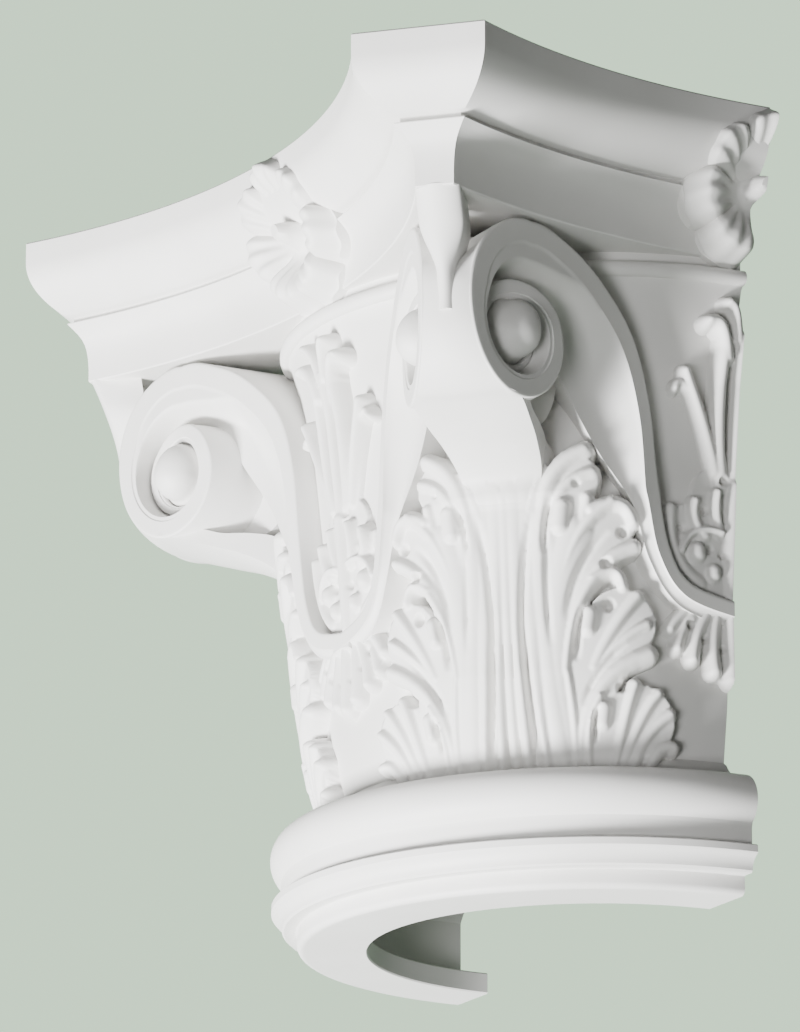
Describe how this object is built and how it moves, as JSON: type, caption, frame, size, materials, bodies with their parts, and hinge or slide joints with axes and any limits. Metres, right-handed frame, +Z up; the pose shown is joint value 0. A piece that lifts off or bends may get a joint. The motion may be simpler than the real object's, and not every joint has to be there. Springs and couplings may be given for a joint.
{
  "type": "half corinthian capital",
  "caption": "Half of a white cast Corinthian capital for an engaged column: ring mouldings, acanthus leaves, corner volutes and a hollow-sided abacus.",
  "frame": {"origin": "centre of the bounding box at the lower bed; the flat back lies in the plane y = +0.1075 and the column's axis runs up through x = 0, y = +0.1075", "axes": "+Z up; -Y is the front that looks into the room; +Y is the flat back against the wall; X runs across the width"},
  "size_m": [0.43, 0.215, 0.36],
  "materials": {
    "cast_plaster": "smooth matte cast plaster, white"
  },
  "bodies": {
    "root": {"half_capital": "cast_plaster"}
  },
  "joints": []
}
